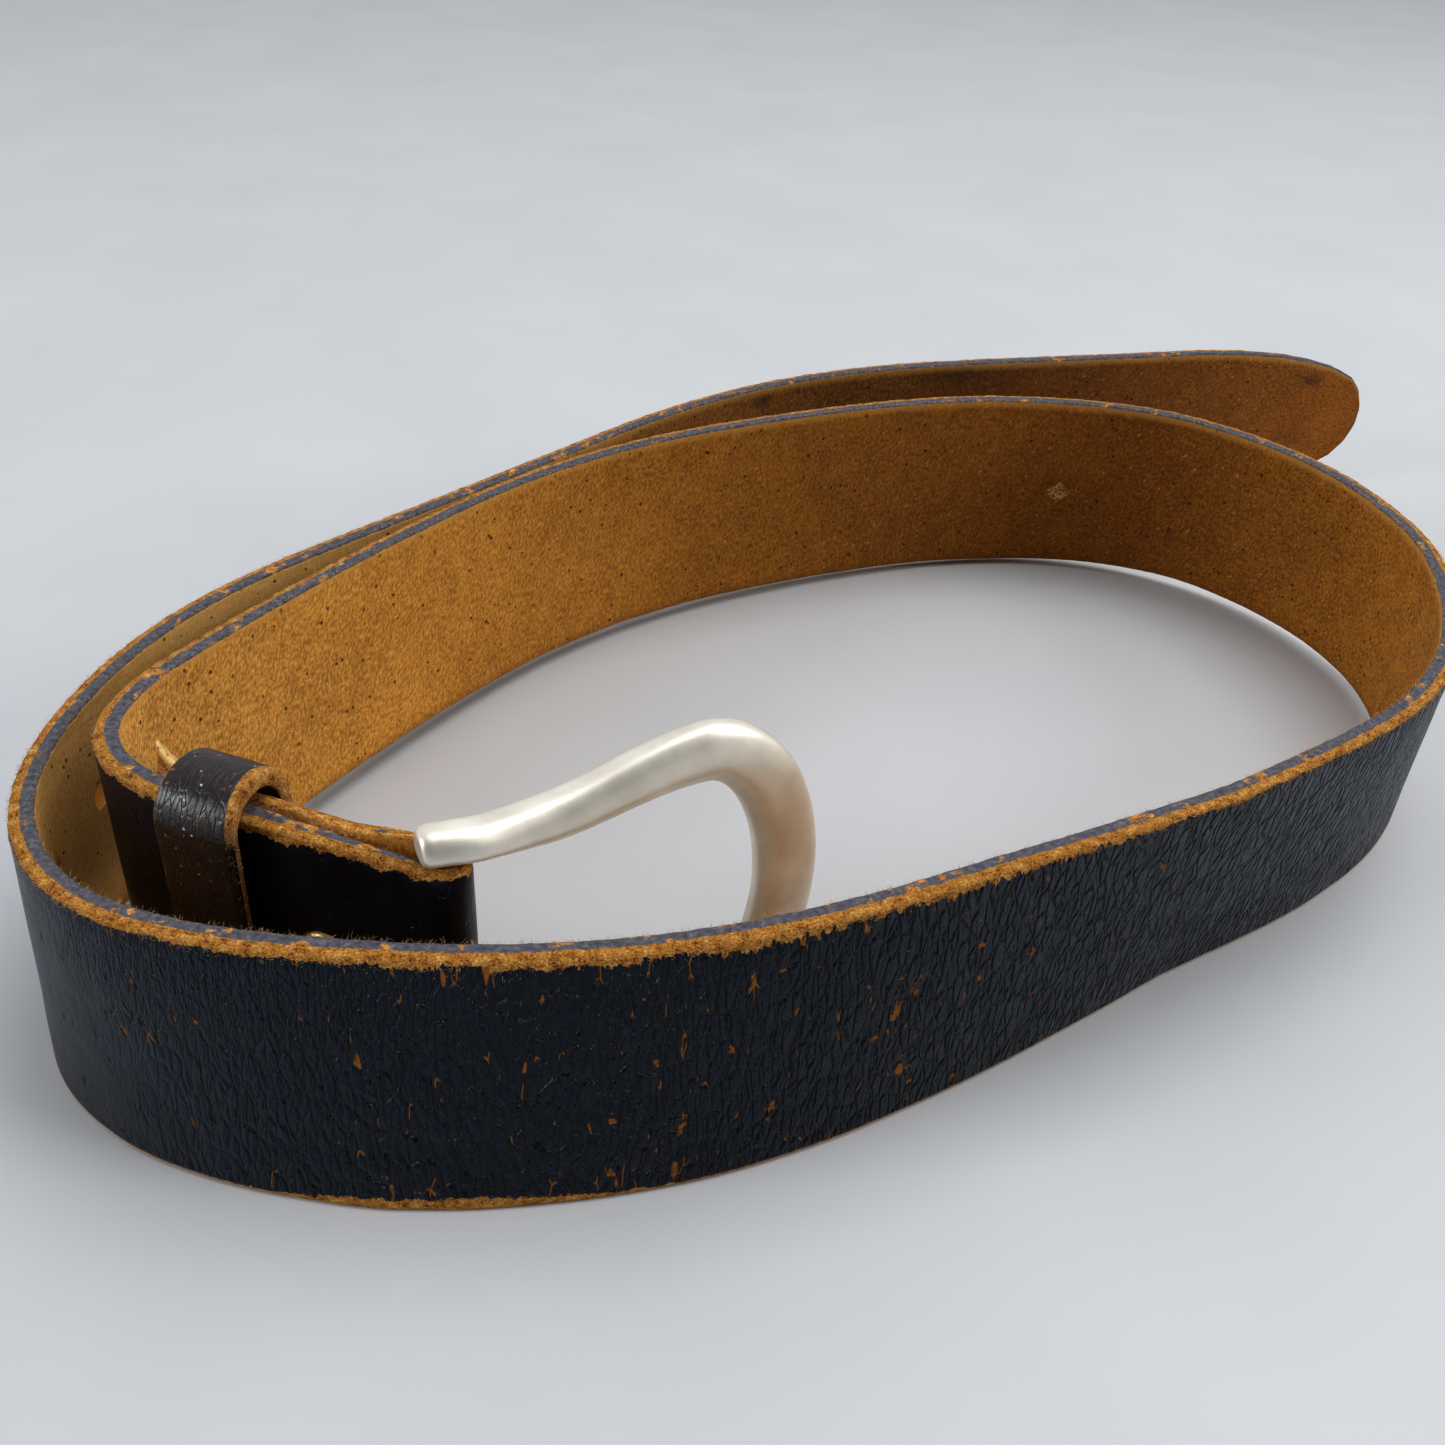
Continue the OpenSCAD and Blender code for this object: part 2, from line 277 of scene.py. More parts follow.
class Mat:
    """A material with one Principled shader, and short names for the nodes that feed it."""

    def __init__(self, name):
        self.mat = bpy.data.materials.new(name)
        self.mat.use_nodes = True
        self.tree = self.mat.node_tree
        self.tree.nodes.clear()
        self.shader = self.node("ShaderNodeBsdfPrincipled")
        end = self.node("ShaderNodeOutputMaterial")
        self.link(self.shader.outputs[0], end.inputs[0])

    def node(self, kind, **props):
        n = self.tree.nodes.new(kind)
        for k, v in props.items():
            setattr(n, k, v)
        return n

    def link(self, a, b):
        self.tree.links.new(a.out if isinstance(a, Term) else a, b)

    def put(self, socket, value):
        if isinstance(value, Term) or hasattr(value, "is_output"):
            self.link(value, socket)
        elif isinstance(value, tuple) and len(value) == 3 and len(socket.default_value) == 4:
            socket.default_value = (*value, 1)
        else:
            socket.default_value = value

    def axes(self, vector):
        n = self.node("ShaderNodeSeparateXYZ")
        self.link(vector, n.inputs[0])
        return [Term(self.tree, o) for o in n.outputs]

    def vec(self, x, y, z=0.0):
        n = self.node("ShaderNodeCombineXYZ")
        for i, v in enumerate((x, y, z)):
            self.put(n.inputs[i], v)
        return n.outputs[0]

    def attribute(self, name):
        return self.node("ShaderNodeAttribute", attribute_name=name).outputs["Vector"]

    def object_mm(self):
        """Object coordinates in millimetres."""
        n = self.node("ShaderNodeVectorMath", operation="SCALE")
        self.link(self.node("ShaderNodeTexCoord").outputs["Object"], n.inputs[0])
        n.inputs["Scale"].default_value = 1000
        return n.outputs[0]

    def noise(self, vector, size, detail=3.0, rough=0.55, warp=0.0):
        """Noise with features about size millimetres wide."""
        n = self.node("ShaderNodeTexNoise")
        self.link(vector, n.inputs["Vector"])
        n.inputs["Scale"].default_value = 1 / size
        n.inputs["Detail"].default_value = detail
        n.inputs["Roughness"].default_value = rough
        n.inputs["Distortion"].default_value = warp
        return Term(self.tree, n.outputs["Fac"])

    def cells(self, vector, size, feature="DISTANCE_TO_EDGE"):
        """Distance to the nearest cell's border, or with F1 to its middle."""
        n = self.node("ShaderNodeTexVoronoi", feature=feature)
        self.link(vector, n.inputs["Vector"])
        n.inputs["Scale"].default_value = 1 / size
        return Term(self.tree, n.outputs["Distance"])

    def mix(self, fac, a, b):
        n = self.node("ShaderNodeMix", data_type="RGBA")
        for socket, value in zip(MIX_COLOUR_SOCKETS, (fac, a, b)):
            self.put(n.inputs[socket], value)
        return n.outputs[2]

    def ramp(self, value, *stops):
        n = self.node("ShaderNodeValToRGB")
        self.link(value, n.inputs[0])
        els = n.color_ramp.elements
        els[0].position, els[0].color = stops[0][0], (*stops[0][1], 1)
        els[1].position, els[1].color = stops[-1][0], (*stops[-1][1], 1)
        for at, c in stops[1:-1]:
            e = els.new(at)
            e.color = (*c, 1)
        return n.outputs[0]

    def relief(self, height_mm):
        n = self.node("ShaderNodeBump")
        n.inputs["Strength"].default_value = 1.0
        n.inputs["Distance"].default_value = MM
        self.link(height_mm, n.inputs["Height"])
        self.link(n.outputs[0], self.shader.inputs["Normal"])

    def set(self, **values):
        for k, v in values.items():
            self.put(self.shader.inputs[k.replace("_", " ")], v)


RAW_LIGHT = (0.60, 0.31, 0.075)
RAW = (0.40, 0.165, 0.022)
RAW_DARK = (0.17, 0.055, 0.008)


def raw_fibre(m, vector):
    """Colour and height of torn leather fibre."""
    fine = m.noise(vector, 0.34, 4, 0.72)
    wide = m.noise(vector, 1.5, 3, 0.6)
    shade = (fine * 0.75 + wide * 0.5).step(0.40, 0.82)
    colour = m.ramp(shade, (0.0, (0.08, 0.022, 0.002)), (0.2, RAW_DARK), (0.45, RAW),
                    (0.75, (0.50, 0.245, 0.05)), (1.0, (0.76, 0.48, 0.17)))
    return colour, fine * 0.42 + wide * 0.2


def strap_material():
    """t runs along the strap from the heel bar, and is below 0 on the fold and the turned end.

    p runs round the section: grain face to 37.2, worn arris to 38.5, upper edge to 40.6, suede from
    41.3 to 78.4, lower edge from 79.1 to 81.3. Both are in mm.
    """
    m = Mat("strap leather")
    lay = m.attribute("lay")
    t, p, _ = m.axes(lay)
    wobble = ((m.noise(lay, 2.6, 4, 0.65) - 0.5) * 2.6
              + (m.noise(m.vec(t, p * 0.4), 0.7, 3, 0.7) - 0.5) * 1.3)
    soft = (m.noise(lay, 1.2, 4, 0.7) - 0.5) * 1.1

    # grain face: tall scales at the front and right, smoother with nicks and a crinkled top at the left
    sway = m.noise(lay, 7, 2) - 0.5
    crack = m.cells(m.vec(t + sway, p * 0.30), 1.25)
    fine_crack = m.cells(m.vec(t + sway * 0.6, p * 0.3), 0.62)
    ridges = m.noise(m.vec(t + sway * 0.6, p * 0.15), 0.75, 3, 0.6)
    zone = t.step(650, 570) * t.step(200, 350) + t.step(770, 880) * 0.45
    crinkle = p.step(20, 32) * t.step(670, 610) * t.step(520, 600)
    some = m.noise(m.vec(t, p * 0.5), 2.6, 3)
    deep = crack.step(0.115, 0.035) * (some + zone * 0.20 - 0.10).step(0.52, 0.60)
    nick_at = m.cells(m.vec(t + (ridges - 0.5) * 1.6, p * 0.62), 2.2, "F1")
    nicks = (nick_at.step(0.20, 0.12) * (m.noise(lay, 7, 2) + zone * 0.09).step(0.44, 0.52)
             * t.step(60, 200))
    scales = crack.step(0.0, 0.24)
    split = crack.step(0.17, 0.06) * zone * (some + 0.04).step(0.40, 0.52)
    grain_h = (ridges * (zone * 0.50 + crinkle * 0.55 + 0.011)
               + scales * zone * 0.40
               + fine_crack.step(0.0, 0.2) * (zone * 0.10 + crinkle * 0.12 + 0.010)
               - deep * 0.25 - nicks * 0.34
               + m.noise(lay, 0.3, 3) * 0.012
               + m.noise(lay, 9, 2) * 0.5)
    tone = m.noise(m.vec(t, p * 0.5), 5, 3)
    # painted light in the grain's colour: near black as painted shade in the middle of the front run, where
    # the face turns to the dim side of the room, and lighter as a painted reflection of the bright room
    # along the right of the front run and at the far left
    shaded_grain_c = m.ramp(tone, (0.25, (0.0004, 0.0006, 0.0014)), (0.75, (0.0024, 0.0040, 0.0110)))
    sheen_grain_c = m.ramp(tone, (0.25, (0.0150, 0.0170, 0.0240)), (0.75, (0.0460, 0.0500, 0.0650)))
    # far marks where the painted reflection goes: from 300 to 450 fading out by 560, and beyond 660
    far = (t.step(560, 450) * t.step(120, 300) + t.step(660, 720) * 0.7).low(1.0)
    grain_c = m.mix(far, shaded_grain_c, sheen_grain_c)
    grain_c = m.mix((split * 0.95 + nicks * 0.95 + deep).low(1.0), grain_c,
                    (0.0003, 0.0003, 0.0004))

    # chips through the finish
    patchy = m.noise(m.vec(t, p * 0.6), 15, 2)
    columns = m.noise(m.vec(t, p * 0.10), 4.0, 2).step(0.50, 0.66) * t.bump_at(545, 120)
    spot = (t.bump_at(655, 2.6) * p.bump_at(25, 4.4) + t.bump_at(603, 2.4) * p.bump_at(20, 4.0)
            + t.bump_at(520, 2.0) * p.bump_at(27, 4.2) + t.bump_at(490, 2.2) * p.bump_at(30, 3.4)
            + t.bump_at(487, 2.0) * p.bump_at(23, 4.0) + t.bump_at(550, 2.6) * p.bump_at(9, 5.0))
    many = (t.bump_at(535, 120) * 0.050 + t.bump_at(930, 90) * 0.06 + patchy * 0.11 + columns * 0.085
            + spot * 0.17)
    chip_n = m.noise(m.vec(t + (ridges - 0.5) * 2.4, p * 0.5), 1.9, 5, 0.66, 0.4)
    chip = (chip_n + many).step(0.776, 0.786)
    gap_at = m.noise(m.vec(t, p * 0.3), 2.0, 2) + t.bump_at(575, 90) * 0.09
    gap = crack.step(0.075, 0.04) * gap_at.step(0.71, 0.73)
    chip = chip.top(gap * t.step(440, 500) * t.step(700, 660))

    # the worn top arris
    band = t.bump_at(550, 115) * 0.80 + t.bump_at(20, 70) + 0.35
    drips = (ridges - 0.5) * 3.2 * t.bump_at(530, 130)
    ragged = (m.noise(m.vec(t, 3.0), 6, 3) - 0.5) * 4.0 * (band - 0.2)
    face_edge = (p + band + wobble * (band * 0.7 + 0.2) + drips + ragged).step(37.8, 37.95)
    on_top = (p + soft * 0.8).step(39.35, 39.15)
    worn = face_edge * on_top
    low_wear = (p * -1 + t.bump_at(590, 30) * 1.8 + t.bump_at(610, 130) * 0.5 + wobble * 0.9
                + (patchy - 0.5) * 2.2 + 0.25).step(0.0, 0.2) * p.step(20, 10)
    under = p.step(79.3, 79.6)
    raw_mask = (worn + low_wear + chip * p.step(38.2, 37.9)).low(1.0)
    raw_c, raw_h = raw_fibre(m, lay)
    chip_c = m.mix(m.noise(lay, 0.7, 3), (0.16, 0.045, 0.004), (0.40, 0.165, 0.022))

    # painted edge, worn at its inner border
    painted = (p + soft * 0.6).step(39.15, 39.35) * (p + soft * 0.5).step(41.45, 41.15)
    paint_n = m.noise(lay, 0.9, 4, 0.65)
    paint_c = m.ramp(paint_n, (0.3, (0.040, 0.038, 0.046)), (0.55, (0.100, 0.096, 0.112)),
                     (0.75, (0.18, 0.175, 0.19)))
    bare_at = m.noise(m.vec(t, p * 1.3), 3.6, 4, 0.6) + t.step(60, 20) * 0.06 + t.step(0, -6) * 0.16
    paint_mask = painted * (1 - bare_at.step(0.58, 0.66) * 0.95)

    # suede flesh side
    slant = m.vec(t + p * 0.45, p * 0.55 - t * 0.12)
    nap = m.noise(slant, 0.55, 5, 0.72)
    patch = m.noise(slant, 3.4, 4, 0.6)
    wide = m.noise(lay, 26, 3)
    pits = m.cells(lay, 2.7, "F1").step(0.15, 0.07) * m.noise(lay, 11, 2).step(0.34, 0.50)
    nap_shade = (nap * 0.98 + patch * 0.22 + wide * 0.16).step(0.50, 0.90)
    # The nap's colours rise and fall along the strap as painted light: painted shade on runs whose inner
    # face turns away from the lamps, as at the back right, lighter where it turns towards them, and a bright
    # stop at 0.745 that paints light into the shaded gap of the outer run at the left.
    along = t * (1 / LENGTH)
    nap_low_painted_light_c = m.ramp(along, (0.03, (0.34, 0.145, 0.024)), (0.12, (0.31, 0.125, 0.017)),
                    (0.22, (0.155, 0.055, 0.005)), (0.30, (0.095, 0.029, 0.0015)),
                    (0.40, (0.18, 0.066, 0.0055)), (0.745, (0.92, 0.47, 0.125)),
                    (0.81, (0.13, 0.048, 0.006)), (0.9, (0.07, 0.021, 0.0015)),
                    (1.0, (0.165, 0.054, 0.004)))
    nap_high_painted_light_c = m.ramp(along, (0.03, (0.93, 0.53, 0.14)), (0.12, (0.82, 0.40, 0.068)),
                    (0.22, (0.43, 0.18, 0.022)), (0.30, (0.29, 0.108, 0.009)),
                    (0.40, (0.57, 0.245, 0.028)), (0.745, (1.0, 0.66, 0.26)),
                    (0.81, (0.48, 0.21, 0.045)), (0.9, (0.22, 0.077, 0.009)),
                    (1.0, (0.49, 0.18, 0.022)))
    suede_c = m.mix(nap_shade, nap_low_painted_light_c, nap_high_painted_light_c)
    fleck = m.noise(slant, 1.0, 3, 0.6).step(0.62, 0.74)
    suede_c = m.mix(fleck * 0.38, suede_c, (0.80, 0.48, 0.14))
    suede_c = m.mix(pits * 0.85, suede_c, (0.035, 0.012, 0.003))
    rim = (p + soft * 1.6).step(43.2, 41.4) * 0.55
    suede_c = m.mix(rim, suede_c, RAW_LIGHT)
    foot = (p + soft * 2).step(76.5, 79) * 0.45
    suede_c = m.mix(foot, suede_c, RAW_DARK)
    stain = (t.bump_at(999, 6.0) * p.bump_at(46.5, 3.5) * 0.5
             + t.bump_at(855, 4.0) * p.bump_at(44.0, 2.2) * 0.5
             + t.bump_at(905, 12) * p.bump_at(43.5, 3.0) * 0.3)
    stain = (stain * 0.9 + m.noise(lay, 2, 3) * stain * 0.5).low(1.0)
    suede_c = m.mix(stain, suede_c, (0.012, 0.008, 0.007))

    # a small worn lozenge of gold foil, a plain size mark with no lettering
    foil = ((t - 287).math("ABSOLUTE") * 0.8 + (p - 61.8).math("ABSOLUTE")).step(2.6, 2.3)
    foil = foil * m.noise(lay, 0.8, 4, 0.7).step(0.46, 0.56)
    suede_c = m.mix(foil * 0.75, suede_c, (0.45, 0.36, 0.12))

    flesh = (p + soft * 0.5).step(41.15, 41.45)
    colour = m.mix(chip, grain_c, chip_c)
    colour = m.mix((worn + low_wear).low(1.0), colour, raw_c)
    colour = m.mix(p.step(38.8, 39.2), colour, raw_c)
    colour = m.mix(paint_mask, colour, paint_c)
    colour = m.mix(flesh, colour, suede_c)
    colour = m.mix(under, colour, raw_c)
    tongue = (t.step(-38, -46) * p.step(37.8, 38.3) * p.step(42.6, 41.6)
              * m.noise(lay, 1.4, 3).step(0.36, 0.50))
    colour = m.mix(tongue * 0.8, colour, (0.78, 0.52, 0.20))

    matte = (raw_mask + flesh + under + painted * 0.35 + p.step(38.8, 39.2) * 0.6).low(1.0)
    sheen_var = m.noise(lay, 7, 3)
    gloss_rough = sheen_var * 0.2 + ridges * 0.08 + 0.22
    roughness = gloss_rough * (1 - matte) + matte * 0.95
    height = (grain_h * (1 - raw_mask) * p.step(38.4, 38.0)
              + raw_mask * (raw_h - 0.3)
              + painted * paint_n * 0.06
              + flesh * (nap * 0.34 + patch * 0.22 - pits * 0.3))
    m.relief(height)
    m.set(Base_Color=colour, Roughness=roughness, Specular_IOR_Level=0.3, Specular_Tint=(0.62, 0.78, 1.0))
    return m.mat


def fibre_material():
    m = Mat("loose leather fibre")
    mm = m.object_mm()
    n = m.noise(mm, 0.8, 3, 0.6)
    m.set(Base_Color=m.ramp(n, (0.3, (0.36, 0.16, 0.03)), (0.5, (0.60, 0.36, 0.13)),
                            (0.72, (0.74, 0.54, 0.27))), Roughness=0.8)
    m.relief(m.noise(mm, 0.15, 2) * 0.02)
    return m.mat


def keeper_material():
    m = Mat("keeper leather")
    lay = m.attribute("lay")
    a, b, k = m.axes(lay)          # across the band, round the band, 0 outside to 1 inside
    mm = m.object_mm()
    wob = (m.noise(mm, 1.6, 4, 0.65) - 0.5) * 1.6 + (m.noise(mm, 0.5, 3, 0.7) - 0.5) * 0.8
    arch = b.bump_at(25, 9)
    slim = 1 - b.step(30, 35) * (m.noise(mm, 1.2, 3) + 0.15).step(0.90, 0.78)
    edge = ((a + wob * 0.5 + arch * 1.2).step(10.6, 10.8) * slim
            + (a * -1 + wob * 0.3).step(-0.45, -0.2))
    seam = k.bump_at(0.62, 0.16) * a.step(10.7, 10.9)
    edge = (edge + seam).low(1.0)
    inside = k.step(0.4, 0.6)
    tone = m.noise(mm, 2.4, 4, 0.6)
    skin_c = m.ramp(tone, (0.3, (0.003, 0.0015, 0.0012)), (0.55, (0.010, 0.0050, 0.0055)),
                    (0.75, (0.024, 0.014, 0.018)))
    specks = m.cells(mm, 1.3, "F1").step(0.17, 0.09) * m.noise(mm, 4, 2).step(0.48, 0.56)
    skin_c = m.mix(specks, skin_c, (0.55, 0.50, 0.50))
    chips = m.noise(mm, 1.3, 4, 0.6).step(0.66, 0.68)
    raw_c, raw_h = raw_fibre(m, mm)
    skin_c = m.mix(chips, skin_c, (0.20, 0.07, 0.02))
    inner_c = m.mix(m.noise(mm, 0.6, 4, 0.7), (0.05, 0.018, 0.004), (0.20, 0.08, 0.018))
    colour = m.mix(inside, skin_c, inner_c)
    colour = m.mix(edge, colour, raw_c)
    dents = m.cells(m.vec(a, b * 0.4), 0.9)
    height = (m.noise(mm, 0.8, 4, 0.6) * 0.08 - dents.step(0.12, 0.0) * 0.04
              + edge * (raw_h - 0.1))
    m.relief(height)
    matte = (edge + inside).low(1.0)
    m.set(Base_Color=colour, Roughness=(m.noise(mm, 3, 3) * 0.25 + 0.24) * (1 - matte) + matte * 0.92)
    return m.mat


def nickel_material():
    m = Mat("satin nickel")
    mm = m.object_mm()
    brushed = m.noise(mm, 0.22, 3, 0.6)
    cloud = m.noise(mm, 7, 4, 0.6)
    scratch = m.noise(m.vec(*[c * s for c, s in zip(m.axes(mm), (0.25, 0.25, 2.2))]), 0.5, 4, 0.6)
    base = m.ramp(cloud, (0.3, (0.72, 0.675, 0.585)), (0.55, (0.83, 0.79, 0.70)),
                  (0.75, (0.90, 0.87, 0.79)))
    pits = m.cells(mm, 1.1, "F1").step(0.10, 0.05) * m.noise(mm, 3.2, 2).step(0.60, 0.66)
    base = m.mix(pits * 0.8, base, (0.10, 0.085, 0.07))
    m.relief(brushed * 0.006 + scratch * 0.006 + cloud * 0.05 - pits * 0.03)
    m.set(Base_Color=base, Metallic=0.78, Roughness=cloud * 0.12 + scratch * 0.1 + 0.34)
    return m.mat


def rivet_material():
    m = Mat("dull brassy rivet")
    mm = m.object_mm()
    cloud = m.noise(mm, 1.4, 4, 0.65)
    base = m.ramp(cloud, (0.3, (0.16, 0.095, 0.035)), (0.5, (0.42, 0.30, 0.13)),
                  (0.7, (0.62, 0.50, 0.28)))
    m.relief(m.noise(mm, 0.3, 3) * 0.02 + cloud * 0.04)
    m.set(Base_Color=base, Metallic=1.0, Roughness=cloud * 0.3 + 0.2)
    return m.mat


def steel_material():
    m = Mat("plain steel wire")
    mm = m.object_mm()
    cloud = m.noise(mm, 1.1, 4, 0.6)
    m.relief(m.noise(m.vec(*[c * s for c, s in zip(m.axes(mm), (1, 1, 0.1))]), 0.2, 3) * 0.015)
    m.set(Base_Color=m.ramp(cloud, (0.3, (0.30, 0.28, 0.25)), (0.7, (0.56, 0.55, 0.53))),
          Metallic=1.0, Roughness=cloud * 0.2 + 0.28)
    return m.mat


def floor_material():
    m = Mat("pale floor")
    mm = m.object_mm()
    n = m.noise(mm, 60, 3)
    m.relief(m.noise(mm, 1.2, 4, 0.6) * 0.015)
    m.set(Base_Color=m.ramp(n, (0.3, (0.485, 0.50, 0.525)), (0.7, (0.515, 0.53, 0.555))),
          Roughness=m.noise(mm, 15, 3) * 0.1 + 0.52)
    return m.mat


# ---------------- strap
GRAIN_ROUND, FLESH_ROUND = 0.8, 0.45     # radii of the strap's long edges
FOLD_SPAN = 8                            # the fold takes t from 0 down to -8
ROUND_LENGTH = 82.6                      # distance round the section, where p starts again
SLOT_HALF, SLOT_FROM, SLOT_TO = 3.6, -9, 6


def ring_layout():
    """The points of one cross section: the side or corner each one sits on, and its place or angle there."""
    rg, rf = GRAIN_ROUND, FLESH_ROUND
    grain = np.unique(np.concatenate([np.linspace(rg, 3, 5), np.linspace(3, 33.5, 24),
                                      np.linspace(33.5, STRAP_W - rg, 9)]))
    sides = (("g", grain), ("gt", (162, 144, 126, 108)),
             ("t", np.linspace(0, 1, 6)), ("ft", (67.5, 45, 22.5)),
             ("f", np.linspace(STRAP_W - rf, rf, 30)), ("fb", (-22.5, -45, -67.5)),
             ("b", np.linspace(1, 0, 5)), ("gb", (-108, -126, -144, -162)))
    return [(kind, a) for kind, places in sides for a in places]


def section(layout, thick, half):
    """Depth, height above the lower edge and outward direction for every point of a section."""
    rg, rf = GRAIN_ROUND, FLESH_ROUND
    g = min(rg, thick * 0.42, half * 0.8)
    f = min(rf, thick * 0.3, half * 0.8)
    full = 2 * half
    out = []
    for kind, a in layout:
        if kind == "g":
            k = (a - rg) / (STRAP_W - 2 * rg)
            out.append((0, g + k * (full - 2 * g), -1, 0))
        elif kind == "f":
            k = (a - rf) / (STRAP_W - 2 * rf)
            out.append((thick, f + k * (full - 2 * f), 1, 0))
        elif kind == "t":
            d = g + a * (thick - g - f)
            out.append((d, full + 0.12 * math.sin(math.pi * a), 0, 1))
        elif kind == "b":
            out.append((g + a * (thick - g - f), 0, 0, -1))
        else:
            c, s = math.cos(math.radians(a)), math.sin(math.radians(a))
            rr = g if kind[0] == "g" else f
            cd = g if kind[0] == "g" else thick - f
            ch = full - rr if kind[1] == "t" else rr
            out.append((cd + rr * c, ch + rr * s, c, s))
    return np.array(out)


def flare(t):
    """How far the turned end's upper edge opens away from the strap."""
    return np.interp(t, [0, 3, 9, 20, 28, 35, 40, FLAP_LEN, FLAP_END],
                     [0, 0.2, 0.9, 0.9, 0.6, 0.9, 1.7, 2.9, 3.8])


def make_strap():
    layout = ring_layout()
    ref = section(layout, STRAP_T, HALF_W)
    p = np.concatenate([[0], np.cumsum(np.hypot(*np.diff(ref[:, :2], axis=0).T))]) + ref[0, 1]
    n = len(ref)

    rows = []      # grain point, flesh point, t, lift, half width and lean of each section
    for t in np.arange(FLAP_END, 0.6, -0.75):
        inner = NOSE_R + float(flap_inner(t))
        rows.append((on_strap(t, inner + float(flap_t(t))), on_strap(t, inner), -t - FOLD_SPAN,
                     lift(t), HALF_W - 0.4 * smooth((t - FLAP_END + 4) / 4), 0))
    for a in np.radians(np.arange(90, -89, -7.5)):
        d = np.cos(a) * U + np.sin(a) * V
        rows.append((BAR + NOSE_R * d, BAR + FOLD_R * d, -FOLD_SPAN * (math.degrees(a) + 90) / 180,
                     lift(0), HALF_W, 0))
    near_tip = np.array([36, 33, 30, 27, 24.5, 22, 19.5, 17, 15, 13, 11, 9.5, 8, 6.5, 5.2, 4.1,
                         3.2, 2.5, 1.9, 1.4, 1.0, 0.7, 0.45, 0.25])
    for t in np.concatenate([np.arange(0, LENGTH - near_tip[0], 0.7), LENGTH - near_tip]):
        rows.append((on_strap(t, 0), on_strap(t, float(layer_t(t))), t,
                     lift(t) + loose_lift(t), float(half_w(t)), float(lean(t))))
    verts = np.zeros((len(rows), n, 3))
    for i, (g, f, t, rise, half, tilt) in enumerate(rows):
        thick = np.linalg.norm(f - g)
        d = (f - g) / thick
        s = section(layout, thick, half)
        low = float(rise) + HALF_W - half
        # waviness, worn arris and frayed edges
        wave = 0.10 * field(t / 23, s[:, 1] / 17, 3) + 0.05 * field(t / 7, s[:, 1] / 6, 4)
        top_wear = smooth((p - 35.6) / 1.6) * (1 - smooth(p - 39.4))
        low_wear = (1 - smooth(p)) + smooth((p - 81.3) / 0.8)
        fray = rough(t / 0.9, p / 1.1, 9)
        push = wave * (1 - top_wear) - top_wear * (0.10 + 0.16 * fray)
        push = push - low_wear * (0.03 + 0.06 * np.abs(fray))
        push = push + np.where((p > 39.3) & (p < 42.5), 0.09 * rough(t / 1.3, p / 0.8, 21), 0)
        push = push + np.where((p >= 42.5) & (p < 79), 0.05 * rough(t / 1.1, p / 1.1, 33), 0)
        depth = s[:, 0] + push * s[:, 2] + tilt * (s[:, 1] / STRAP_W - 0.5) * (half / HALF_W)
        if t < -FOLD_SPAN:     # the turned end opens out towards its upper edge
            depth = depth - flare(-t - FOLD_SPAN) * smooth((s[:, 1] - 20) / 17)
        high = s[:, 1] + push * s[:, 3]
        high = high + 0.18 * field(t / 31, 0.5, 41) * smooth((s[:, 1] - 20) / 18)
        verts[i, :, :2] = g[None] + depth[:, None] * d[None]
        verts[i, :, 2] = np.maximum(low + high, 0.0)
    obj = new_object("strap_leather", verts.reshape(-1, 3), tube_faces(len(rows), n))
    mesh = obj.data
    lay = mesh.attributes.new("lay", "FLOAT_VECTOR", "CORNER")
    idx = np.zeros(len(mesh.loops), int)
    mesh.loops.foreach_get("vertex_index", idx)
    row, col = idx // n, idx % n
    values = np.stack([np.array([r[2] for r in rows])[row], p[col], np.zeros(len(idx))], 1)
    # where the section closes, its first point counts as the end of the distance round it
    for face in mesh.polygons:
        loops = np.arange(face.loop_start, face.loop_start + face.loop_total)
        c = col[loops]
        if len(c) == 4 and c.max() == n - 1 and c.min() == 0:
            values[loops[c == 0], 1] = ROUND_LENGTH
    lay.data.foreach_set("vector", values.astype(np.float32).ravel())
    fix_normals(obj)
    return obj


def prism(outline, axis_u, axis_w, origin, normal, length):
    """Points and faces of a cutter: an outline on two axes, drawn out along a normal."""
    origin, axis_u, axis_w, normal = (np.array(v) for v in (origin, axis_u, axis_w, normal))
    n = len(outline)
    pts = [origin + a * axis_u + b * axis_w + s * length * normal for s in (-0.5, 0.5) for a, b in outline]
    faces = [tuple(range(n))[::-1], tuple(range(n, 2 * n))]
    faces += [(i, (i + 1) % n, n + (i + 1) % n, n + i) for i in range(n)]
    return pts, faces


# distance from the tip and height of the five size holes and the two that were added
HOLES = [(110, 19), (135, 19), (160, 19), (185, 19), (210, 19), (330, 22), (349, 22)]
RAW_SPOT = [300.0, 80.5, 0.0]      # a place on the raw lower edge, so that cut walls look like it


